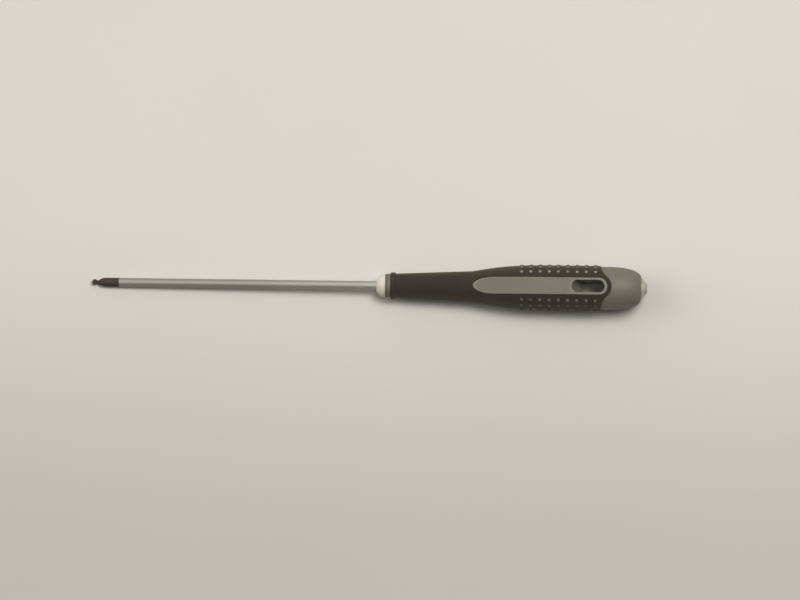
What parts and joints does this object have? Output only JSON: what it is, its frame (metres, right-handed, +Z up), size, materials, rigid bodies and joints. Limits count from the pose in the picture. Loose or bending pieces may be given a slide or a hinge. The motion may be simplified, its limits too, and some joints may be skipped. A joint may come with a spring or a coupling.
{
  "type": "hex screwdriver",
  "caption": "Ball-end hex screwdriver: thin round blade in a flared, layered handle with a pipped rubber grip, flat windows and a hanging slot.",
  "frame": {"origin": "centre of the lowest plane of the tool's box: the tool lies on z = 0, on the edges of its lower window and on the shoulder of its blade", "axes": "+X along the tool from its tip to the end of its handle, tipped up by the 2.11 degrees at which it lies; +Z up, through the upper window; +Y to the left of the tool"},
  "size_m": [0.222, 0.0182, 0.0181],
  "materials": {
    "satin_chrome": "satin chrome, black at the tip",
    "white_plastic": "smooth moulded, warm white",
    "grey_plastic": "fine moulded grain",
    "black_rubber": "matt, soft"
  },
  "bodies": {
    "root": {"blade": "satin_chrome", "handle_core": "white_plastic", "handle_shell": "grey_plastic", "rubber_grip": "black_rubber"}
  },
  "joints": []
}
